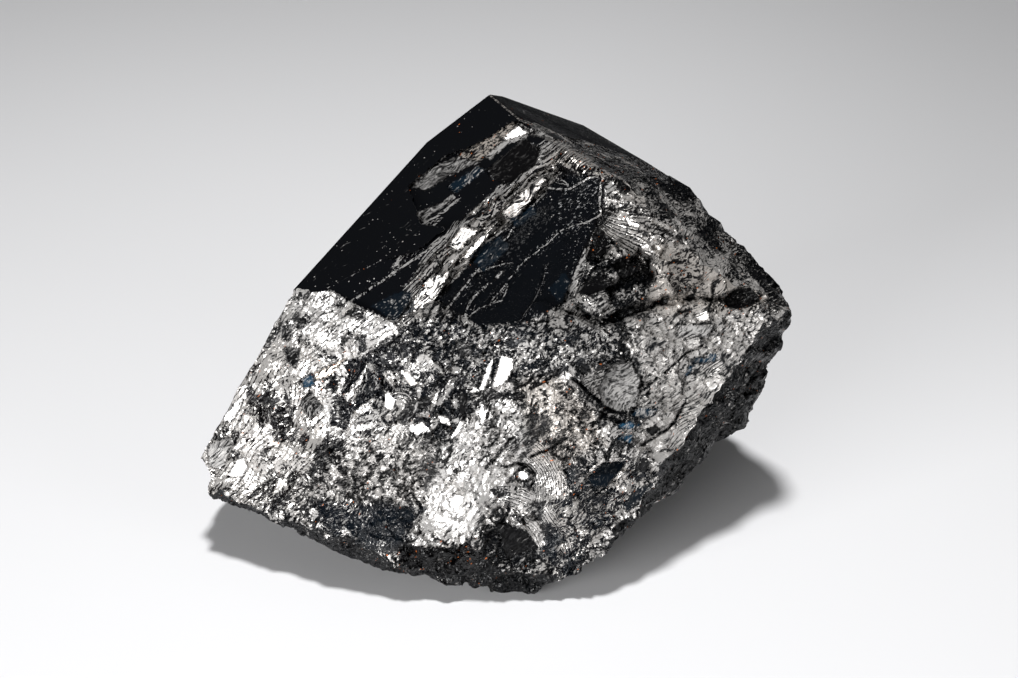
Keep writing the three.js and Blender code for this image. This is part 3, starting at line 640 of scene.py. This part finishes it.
def frontSheet(x, y):
    z = frontShape(x, y)
    look = patchLook(x, y, *slopesOf(z, x, y))
    z = z + look["relief"]
    depth = faceHeight(x, y) - z
    # painted shade: the pits above the ridge at the right are darker the deeper they are, and so is the
    # cavity
    dark = smooth(*overall["darkDepth"], depth) * smooth(-0.4, 0.2, y - 1.2) * smooth(5, 6, x)
    dark = np.maximum(dark, smooth(-0.05, 0.25, insideCavity(x, y)))
    setFinish(look, dark, {"silver": 0, "mottle": 0.3, "glint": 0.3})
    for face, outline, corners, finish in benches:
        floor = benchAt(x, y, face, outline, corners)
        onBench = floor < z
        z = np.where(onBench, floor, z)
        setFinish(look, onBench, finish)
    for fan, combs in ((False, ripples), (True, fans)):
        for comb in combs:
            z -= 0.5 * look["relief"] * combed(look, x, y, fan, *comb)
    # bright seams are painted highlights along low ridges, dark ones painted shade in grooves
    for path, width, bright in seams:
        away = fromPath(x + 0.08 * hills(x, y, 0.9, 81), y + 0.08 * hills(x, y, 0.9, 82), path) / width
        z += seamRelief["bright" if bright > 0 else "dark"] * np.exp(-away * away)
        near = np.abs(away) < np.minimum(np.abs(look["seamAway"]), 0.9 / width)
        look["seamAway"] = np.where(near, away, look["seamAway"])
        look["seam"] = np.where(near, bright * (np.abs(away) < 0.45 / width), look["seam"])
        setFinish(look, np.exp(-((away * width / 0.3) ** 2)), {"glint": 0.6})
    for outline, slope, silver, *other in plates:
        finish = {**plateFinish, "silver": silver, **(other[0] if other else {})}
        ragged = 0.03 + 0.2 * finish["blue"]
        mask, wide = (within(x, y, outline, soft, ragged, 84) for soft in (0.05, 0.15))
        if slope != "kept":
            cx, cy = np.mean(outline, axis=0)
            sx, sy = stone["lit"] if slope == "lit" else slope
            flat = np.median(z[mask > 0.5]) + sx * (x - cx) + sy * (y - cy)
            z += mask * (flat - z)
            setFinish(look, 3 * wide * (1 - wide), {"silver": 0})  # a dark line all round
        setFinish(look, mask, finish)
    return z, look


def show(name, data):
    made = bpy.data.objects.new(name, data)
    bpy.context.scene.collection.objects.link(made)
    return made


surfaceKinds = ("front", "flat", "side", "edge")


def meshFrom(name, points, faces, kind, look=None):
    # a mesh that knows at each face what kind of surface it is, and at each point how it looks
    mesh = bpy.data.meshes.new(name)
    mesh.vertices.add(len(points))
    mesh.vertices.foreach_set("co", np.asarray(points, dtype=np.float32).ravel())
    flat = np.asarray(faces, dtype=np.int32)
    mesh.loops.add(flat.size)
    mesh.loops.foreach_set("vertex_index", flat.ravel())
    mesh.polygons.add(len(flat))
    mesh.polygons.foreach_set("loop_start", np.arange(0, flat.size, 3, dtype=np.int32))
    mesh.update(calc_edges=True)
    mesh.validate()
    kinds = mesh.attributes.new("kind", "INT", "FACE")
    kinds.data.foreach_set("value", np.full(len(flat), surfaceKinds.index(kind), dtype=np.int32))
    for key in (*finishes, *lines, "known"):
        values = np.zeros(len(points), dtype=np.float32)
        if look:
            top = look[key].ravel() if key in look else np.full(look["rough"].size, key == "known")
            values[:len(top)] = top
        mesh.attributes.new(key, "FLOAT", "POINT").data.foreach_set("value", values)
    return mesh


def gridLines(reach, window, pitch):
    # fine steps inside the window, one coarse step to each end
    low, high = max(window[0], 1 - reach), min(window[1], reach - 1)
    fine = np.linspace(low, high, math.ceil((high - low) / pitch) + 1)
    return np.concatenate([[-reach], fine, [reach]])


def sheetBlock(name, aLines, bLines, turn, surface, kind, seed):
    # a closed block under a jittered grid of heights
    a, b = np.meshgrid(aLines, bLines, indexing="ij")
    i, j = np.meshgrid(np.arange(len(aLines)), np.arange(len(bLines)), indexing="ij")
    inner = (i > 1) & (i < len(aLines) - 2) & (j > 1) & (j < len(bLines) - 2)
    stray = 2 * stone["jitter"] * (aLines[2] - aLines[1]) * inner
    a, b = a + stray * (rand(i, j, seed) - 0.5), b + stray * (rand(i, j, seed + 1) - 0.5)
    x = a * math.cos(turn) - b * math.sin(turn)
    y = a * math.sin(turn) + b * math.cos(turn)
    z, look = surface(x, y)
    top = np.stack([x, y, z], -1).reshape(-1, 3)
    at = i * len(bLines) + j
    a00, a10 = at[:-1, :-1].ravel(), at[1:, :-1].ravel()
    a01, a11 = at[:-1, 1:].ravel(), at[1:, 1:].ravel()
    flip = (rand(i, j, seed + 2)[:-1, :-1].ravel() > 0.5)[:, None]
    one = np.where(flip, np.stack([a00, a10, a11], -1), np.stack([a00, a10, a01], -1))
    two = np.where(flip, np.stack([a00, a11, a01], -1), np.stack([a10, a11, a01], -1))
    rim = np.concatenate([at[:-1, 0], at[-1, :-1], at[:0:-1, -1], at[0, :0:-1]])
    foot = top[rim].copy()
    foot[:, 2] = -stone["block"]
    middle = [foot.mean(axis=0)]
    k = np.arange(len(rim))
    n = (k + 1) % len(rim)
    first = len(top)
    walls = [
        np.stack([rim[k], first + k, first + n], -1),
        np.stack([rim[k], first + n, rim[n]], -1),
        np.stack([first + n, first + k, np.full_like(k, first + len(rim))], -1),
    ]
    return meshFrom(name, np.concatenate([top, foot, middle]), np.concatenate([one, two, *walls]), kind, look)


def facing(out):
    return Vector((0, 0, 1)).rotation_difference(Vector(out).normalized()).to_matrix().to_4x4()


def flatBlock(name, out, distance, kind="flat"):
    # a box that lies on the outside of one flat face
    far = stone["block"]
    corners = list(itertools.product((-far, far), (-far, far), (distance, distance + far)))
    faces = [(0, 1, 3), (0, 3, 2), (4, 6, 7), (4, 7, 5), (0, 4, 5), (0, 5, 1),
             (2, 3, 7), (2, 7, 6), (0, 2, 6), (0, 6, 4), (1, 5, 7), (1, 7, 3)]
    mesh = meshFrom(name, corners, faces, kind)
    mesh.transform(facing(out))
    return mesh


lean = stone["lean"]
under = ((0, -math.cos(lean), -math.sin(lean)), stone["underside"])


def sideWindows():
    # where each broken side shows, from the corners of the stone with all its faces taken flat
    planes = [(*face[0], face[1]) for face in (*crystalFaces.values(), *brokenSides.values(), under)]
    planes += [(-zone[1][0], -zone[1][1], 1, zone[0] - zone[1][1] * ridgeY) for zone in frontZones.values()]
    planes = np.array(planes, float)
    planes /= np.linalg.norm(planes[:, :3], axis=1)[:, None]
    threes = np.array(list(itertools.combinations(range(len(planes)), 3)))
    sides = planes[threes][:, :, :3]
    good = np.abs(np.linalg.det(sides)) > 1e-4
    threes = threes[good]
    corners = np.linalg.solve(sides[good], planes[threes][:, :, 3:])[:, :, 0]
    near = (corners @ planes[:, :3].T - planes[:, 3]).max(axis=1) < 1.2
    windows = {}
    for n, (name, side) in enumerate(brokenSides.items()):
        mine = near & (threes == len(crystalFaces) + n).any(axis=1)
        local = (corners[mine] @ np.array(facing(side[0]).to_3x3()))[:, :2]
        windows[name] = (local.min(axis=0) - stone["sideMargin"], local.max(axis=0) + stone["sideMargin"])
    return windows


# Flakes of the broken sides: size, tilt, stretch, turn in degrees, swirl.
sideFlakes = {"wide": (1.5, 0.3, 1.5, 30, 0), "fine": (0.8, 0.4, 2.2, 0, 4)}


def sideSheet(side, seed):
    out, distance, lump, chip, baseSheen, frontSheen = side

    def surface(x, y):
        rough = chips(x + 50, y + 50, *lump, seed) + chips(x + 50, y + 50, *chip, seed + 5)
        wide, toneWide, _ = flakes(x, y, *sideFlakes["wide"], (0, 0), seed + 301)
        fine, toneFine, gap = flakes(x, y, *sideFlakes["fine"], (0, 0), seed + 311)
        px, py, pz = (row[0] * x + row[1] * y + row[2] * distance for row in facing(out).to_3x3())
        behind = faceHeight(px, py) - pz + hills(x, y, 3, seed + 321)
        # painted sheen on this side, more of it next to the front
        silver = baseSheen + frontSheen * (1 - smooth(1.2, 3.4, behind))
        # the cracks between flakes get painted shade here too
        tone = (0.3 + 2 * silver) * (0.5 * toneWide + 0.3 * toneFine) - 0.2 * gap
        look = {**sideFinish, "silver": np.clip(silver + tone, 0, 1), "streak": sideFinish["streak"] + silver}
        return distance + rough + wide + fine, {key: value + 0 * x for key, value in look.items()}
    return surface


def buildStone():
    grid = [np.arange(*reach, stone["frontPitch"]) for reach in stone["frontReach"]]
    base = sheetBlock("front", *grid, stone["grain"], frontSheet, "front", seed=901)
    print("front made: %d faces, %.1f s" % (len(base.polygons), time.time() - started))
    body = show("brokenCrystal", base)
    tools = []

    def cut(mesh, operation):
        tools.append(show(mesh.name, mesh))
        step = body.modifiers.new(mesh.name, "BOOLEAN")
        step.operation, step.solver, step.object = operation, "MANIFOLD", tools[-1]

    for name, (out, distance) in crystalFaces.items():
        cut(flatBlock(name, out, distance), "DIFFERENCE")
    (left, leftAway), (right, rightAway) = list(crystalFaces.values())[:2]  # the pyramid faces
    length = np.linalg.norm(np.add(left, right))
    away = (leftAway + rightAway) / length - stone["blunt"]
    cut(flatBlock("edge", np.add(left, right) / length, away, "edge"), "DIFFERENCE")
    cut(flatBlock("under", *under), "DIFFERENCE")
    windows = sideWindows()
    for n, (name, side) in enumerate(brokenSides.items()):
        low, high = windows[name]
        grid = [gridLines(stone["sideReach"], window, stone["sidePitch"]) for window in zip(low, high)]
        mesh = sheetBlock(name, *grid, 0, sideSheet(side, 90 + 11 * n), "side", seed=903)
        mesh.transform(facing(side[0]))
        cut(mesh, "INTERSECT")
    print("sides made: %.1f s" % (time.time() - started))
    ready = bpy.context.evaluated_depsgraph_get()
    mesh = bpy.data.meshes.new_from_object(body.evaluated_get(ready), depsgraph=ready)
    body.modifiers.clear()
    body.data = mesh
    for tool in tools:
        bpy.data.objects.remove(tool)
    return body


def readValues(data, key, size, kind=np.float32):
    result = np.zeros(size, dtype=kind)
    data.foreach_get(key, result)
    return result


def spreadFinish(mesh):
    # one value per face corner, so the finish changes sharply where two kinds of surface meet
    attributes, count = mesh.attributes, len(mesh.vertices)
    points = readValues(mesh.vertices, "co", 3 * count).reshape(-1, 3).astype(float)
    known = readValues(attributes["known"].data, "value", count) > 0.99
    kinds = readValues(attributes["kind"].data, "value", len(mesh.polygons), np.int32)
    corners = readValues(mesh.loops, "vertex_index", len(mesh.loops), np.int32)
    kinds = np.repeat(kinds, readValues(mesh.polygons, "loop_total", len(mesh.polygons), np.int32))
    seam = patchLook(points[~known, 0], points[~known, 1])
    for key in (*finishes, *lines):
        atPoint = readValues(attributes[key].data, "value", count)
        shown = {"front": atPoint.copy(), "side": np.where(known, atPoint, sideFinish.get(key, 0))}
        shown["front"][~known] = seam[key]
        shown = {kind: value[corners] for kind, value in shown.items()}
        for kind, finish in (("flat", faceFinish), ("edge", edgeFinishAndHighlight)):
            shown[kind] = np.full(len(corners), finish.get(key, 0))
        result = np.choose(kinds, [shown[kind] for kind in surfaceKinds])
        attributes.remove(attributes[key])
        attributes.new(key, "FLOAT", "CORNER").data.foreach_set("value", result.astype(np.float32))
    attributes.remove(attributes["known"])


body = buildStone()
mesh = body.data
spreadFinish(mesh)
place = Matrix.Rotation(math.pi / 2 - lean, 4, "X")
place.translation = (0, 0, stone["underside"])
mesh.transform(Matrix.Scale(mm, 4) @ place)
mesh.shade_smooth()
mesh.set_sharp_from_angle(angle=stone["sharpFrom"])
print("stone made: %d faces, %.1f s" % (len(mesh.polygons), time.time() - started))

# The ore's colours and its glints.
ore = {
    "body": (0.0025, 0.0024, 0.0027),
    "silver": (0.62, 0.605, 0.59),
    "warm": (0.60, 0.53, 0.46),
    "rust": (0.55, 0.14, 0.03),
    "blue": (0.01, 0.052, 0.1),
    "dust": (0.6, 0.58, 0.55),
    "metal": 0.65,
    "ior": 1.38,
    "grain": 0.155,  # mm, width of the coarser glints
    "fineGrain": 0.078,
    "stretch": 2,  # the glints are this much longer along the grain
    "wander": 0.3,  # turns in each mm of their direction
    "bend": 2.4,  # mm, how far it wanders
    "streakWidth": 0.2,
    "streakStretch": 8,
    "streakPower": 2.6,
    "sheenFrom": (0.28, 0.7),  # from dark to full painted sheen
    "tiltDark": 3.0,  # how far a dark grain tips, and how much less one with painted sheen
    "tiltLess": 2.2,
    "rustSpots": 0.011,
    "dustApart": 0.42,  # mm between grains of dust that may lie there
    "dustWidth": 0.19,
    "wavy": 0.03,
    "growthLines": 0.5,  # mm apart
    "growthDepth": 0.3,
    "growthTone": 0.12,
}


def newMaterial(name):
    # its shader, and short ways to fill a socket and to add a node
    material = bpy.data.materials.new(name)
    material.use_nodes = True
    nodes, links = material.node_tree.nodes, material.node_tree.links

    def plug(socket, value):
        if isinstance(value, bpy.types.NodeSocket):
            links.new(value, socket)
        else:
            socket.default_value = value

    def node(kind, inputs=(), **settings):
        made = nodes.new("ShaderNode" + kind)
        for key, value in settings.items():
            setattr(made, key, value)
        for socket, value in inputs:
            plug(made.inputs[socket], value)
        return made

    def ramp(value, low, high):
        inputs = [("Value", value), ("From Min", low), ("From Max", high)]
        return node("MapRange", inputs, interpolation_type="SMOOTHSTEP").outputs["Result"]

    def mixed(share, *colors):
        colors = ((*color, 1) if isinstance(color, tuple) else color for color in colors)
        return node("Mix", [(0, share), *zip((6, 7), colors)], data_type="RGBA").outputs[2]

    return material, nodes["Principled BSDF"].inputs, plug, node, ramp, mixed


def oreMaterial():
    material, shader, plug, node, ramp, mixed = newMaterial("ore")

    def maths(operation, *inputs, kind="Math"):
        return node(kind, enumerate(inputs), operation=operation).outputs[0]

    times, timesPlus = (functools.partial(maths, operation) for operation in ("MULTIPLY", "MULTIPLY_ADD"))
    vectorMaths = functools.partial(maths, kind="VectorMath")

    def scaled(vector, by):
        return node("VectorMath", [("Vector", vector), ("Scale", by)], operation="SCALE").outputs[0]

    def field(name):
        return node("Attribute", attribute_name=name).outputs["Fac"]

    def turned(vector, rotation, scale=(1, 1, 1)):
        inputs = [("Vector", vector), ("Rotation", rotation), ("Scale", scale)]
        return node("Mapping", inputs, vector_type="TEXTURE").outputs[0]

    def texture(kind, vector, scale, **other):
        return node("Tex" + kind, {"Vector": vector, "Scale": scale, **other}.items())

    def centred(color):
        return vectorMaths("SUBTRACT", color, (0.5, 0.5, 0.5))

    def cells(vector, size):
        color = texture("Voronoi", vector, 1 / size).outputs["Color"]
        return centred(color), node("SeparateColor", [(0, color)]).outputs

    # glints lie along the grain of the front, in a direction that wanders
    here = scaled(node("TexCoord").outputs["Object"], 1 / mm)
    onFront = turned(here, (math.pi / 2 - lean, 0, 0))
    wander = texture("Noise", onFront, ore["wander"])
    onFront = vectorMaths("ADD", onFront, scaled(wander.outputs["Color"], ore["bend"]))
    along, farAlong = (turned(onFront, (0, 0, stone["grain"]), (ore[key], 1, 1))
                       for key in ("stretch", "streakStretch"))
    shake, tone = cells(along, ore["grain"])
    fineShake, fineTone = cells(along, ore["fineGrain"])
    speckle = maths("ADD", times(tone[0], 0.7), times(fineTone[1], 0.5))
    # painted sheen: silver grains where the glints of light off the fracture would be, set by the mottle and
    # by each patch
    silver = timesPlus(maths("SUBTRACT", speckle, 0.6), field("mottle"), field("silver"))
    streaks = texture("Noise", farAlong, 1 / ore["streakWidth"], Detail=2, Distortion=0.8)
    streak = maths("SUBTRACT", streaks.outputs[0], 0.5)
    silver = timesPlus(times(streak, ore["streakPower"]), field("streak"), silver)
    # fine ripples, then seams that break up into beads
    phase = timesPlus(field("waveAt"), 2 * math.pi, times(streak, 6))
    waves = maths("ADD", maths("SINE", phase), maths("SINE", timesPlus(phase, 1.62, 2)))
    silver = timesPlus(times(waves, 0.7), field("wave"), silver)
    away = maths("ABSOLUTE", timesPlus(streak, 1.2, field("seamAway")))
    silver = timesPlus(times(ramp(away, 1.3, 0.4), ramp(speckle, 0.3, 0.75)), field("seam"), silver)
    # growth lines up the prism faces, faint
    growth = texture("Noise", turned(here, (0, -1.26, 0), (14, 1, 1)), 1 / ore["growthLines"], Detail=1)
    faint = times(ramp(growth.outputs[0], 0.58, 0.7), ramp(wander.outputs[0], 0.48, 0.62))
    silver = ramp(timesPlus(faint, ore["growthTone"], silver), *ore["sheenFrom"])

    # dark grains face all ways, so that they miss the light; the flat faces are a little wavy
    tilt = times(field("glint"), timesPlus(silver, -ore["tiltLess"], ore["tiltDark"]))
    shake = scaled(vectorMaths("ADD", shake, scaled(fineShake, 0.8)), tilt)
    shake = vectorMaths("ADD", shake, scaled(centred(wander.outputs["Color"]), ore["wavy"]))
    outward = node("NewGeometry").outputs["Normal"]
    steep = ramp(node("SeparateXYZ", [(0, outward)]).outputs["Z"], 0.8, 0.5)
    line = times(maths("SUBTRACT", growth.outputs[0], 0.5), ore["growthDepth"])
    shake = vectorMaths("ADD", shake, scaled((0.8, 0.6, 0.2), times(line, steep)))
    plug(shader["Normal"], vectorMaths("NORMALIZE", vectorMaths("ADD", outward, shake)))

    rusty = maths("GREATER_THAN", times(field("rust"), ore["rustSpots"]), maths("SUBTRACT", 1, fineTone[2]))
    lies = maths("LESS_THAN", texture("Voronoi", here, 1 / ore["dustApart"]).outputs["Distance"],
                 times(ramp(wander.outputs[0], 0.38, 0.6), times(tone[1], ore["dustWidth"])))
    color = mixed(maths("POWER", field("blue"), 2), ore["body"], ore["blue"])
    # the painted sheen mixes a silver colour over the dark body, and makes it partly metal
    color = mixed(silver, color, mixed(times(field("rust"), 0.9), ore["silver"], ore["warm"]))
    color = mixed(times(rusty, 0.8), color, ore["rust"])
    plug(shader["Base Color"], mixed(times(lies, 0.5), color, ore["dust"]))
    plug(shader["Metallic"], times(silver, ore["metal"]))
    plug(shader["Roughness"], field("rough"))
    plug(shader["IOR"], ore["ior"])
    return material


body.data.materials.clear()
body.data.materials.append(oreMaterial())
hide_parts("cassiterite_crystal")
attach(body, "root")
print("finish done")


# The floor carries a painted pool of light: pale round the stone and darker far from it, where the flat faces
# mirror it.
studio = {
    "floor": {"side": 6.0, "pale": (0.70, 0.70, 0.71), "dark": (0.12, 0.12, 0.125), "paintedPoolFade": (0.13, 0.25)},
    "world": 0.03,
    "aim": 0.018,  # height that the lights point at
    "key": {"azimuth": -40, "elevation": 12, "distance": 0.5, "size": (0.34, 0.22), "power": 3.0},
    "fill": {"azimuth": 56, "elevation": 22, "distance": 0.6, "size": (0.25, 0.25), "power": 0.4},
    "pool": {"place": (0, -0.055, 1.0), "spread": math.radians(23), "softness": 0.06, "power": 43},
    "camera": {"lens": 187, "distance": 0.45, "right": 1.275 * mm, "up": 0.34 * mm},
}


def makeFloor(side, pale, dark, paintedPoolFade):
    mesh = bpy.data.meshes.new("floor")
    corners = [(-side, -side, 0), (side, -side, 0), (side, side, 0), (-side, side, 0)]
    mesh.from_pydata(corners, [], [(0, 1, 2, 3)])
    paint, shader, plug, node, ramp, mixed = newMaterial("floor painted pool")
    away = node("VectorMath", [(0, node("TexCoord").outputs["Object"])], operation="LENGTH").outputs["Value"]
    # painted pool of light: the paint fades from pale to dark away from the middle
    plug(shader["Base Color"], mixed(ramp(away, *paintedPoolFade), pale, dark))
    plug(shader["Roughness"], 0.9)
    plug(shader["Specular IOR Level"], 0.1)
    mesh.materials.append(paint)
    show("floor", mesh)


def makeLight(name, azimuth, elevation, distance, size, power):
    a, e = math.radians(azimuth), math.radians(elevation)
    away = Vector((math.sin(a) * math.cos(e), -math.cos(a) * math.cos(e), math.sin(e)))
    data = bpy.data.lights.new(name, "AREA")
    data.shape = "RECTANGLE"
    data.size, data.size_y = size
    data.energy = power
    light = show(name, data)
    light.location = Vector((0, 0, studio["aim"])) + away * distance
    light.rotation_euler = (-away).to_track_quat("-Z", "Y").to_euler()


def makePool(place, spread, softness, power):
    # lights the floor round the stone from straight above
    data = bpy.data.lights.new("pool", "SPOT")
    data.spot_size, data.spot_blend = spread, 1
    data.shadow_soft_size = softness
    data.energy = power
    light = show("pool", data)
    light.location = place
    light.visible_glossy = False


def makeCamera(lens, distance, right, up):
    # looks square on to the front
    data = bpy.data.cameras.new("camera")
    data.sensor_width = 36
    data.lens = lens
    data.clip_start, data.clip_end = 0.01, 20
    camera = show("camera", data)
    toCamera = Vector((0, -math.cos(lean), math.sin(lean)))
    target = Vector((right, 0, stone["underside"] * mm)) + up * Vector((0, math.sin(lean), math.cos(lean)))
    camera.location = target + distance * toCamera
    camera.rotation_euler = (-toCamera).to_track_quat("-Z", "Y").to_euler()
    bpy.context.scene.camera = camera


makeFloor(**studio["floor"])
makeLight("key", **studio["key"])
makeLight("fill", **studio["fill"])
makePool(**studio["pool"])
makeCamera(**studio["camera"])
world = bpy.data.worlds.new("world")
world.use_nodes = True
background = world.node_tree.nodes["Background"].inputs
background["Color"].default_value = (1, 1, 1, 1)
background["Strength"].default_value = studio["world"]
bpy.context.scene.world = world
bpy.context.scene.view_settings.view_transform = "Standard"
print("studio done")
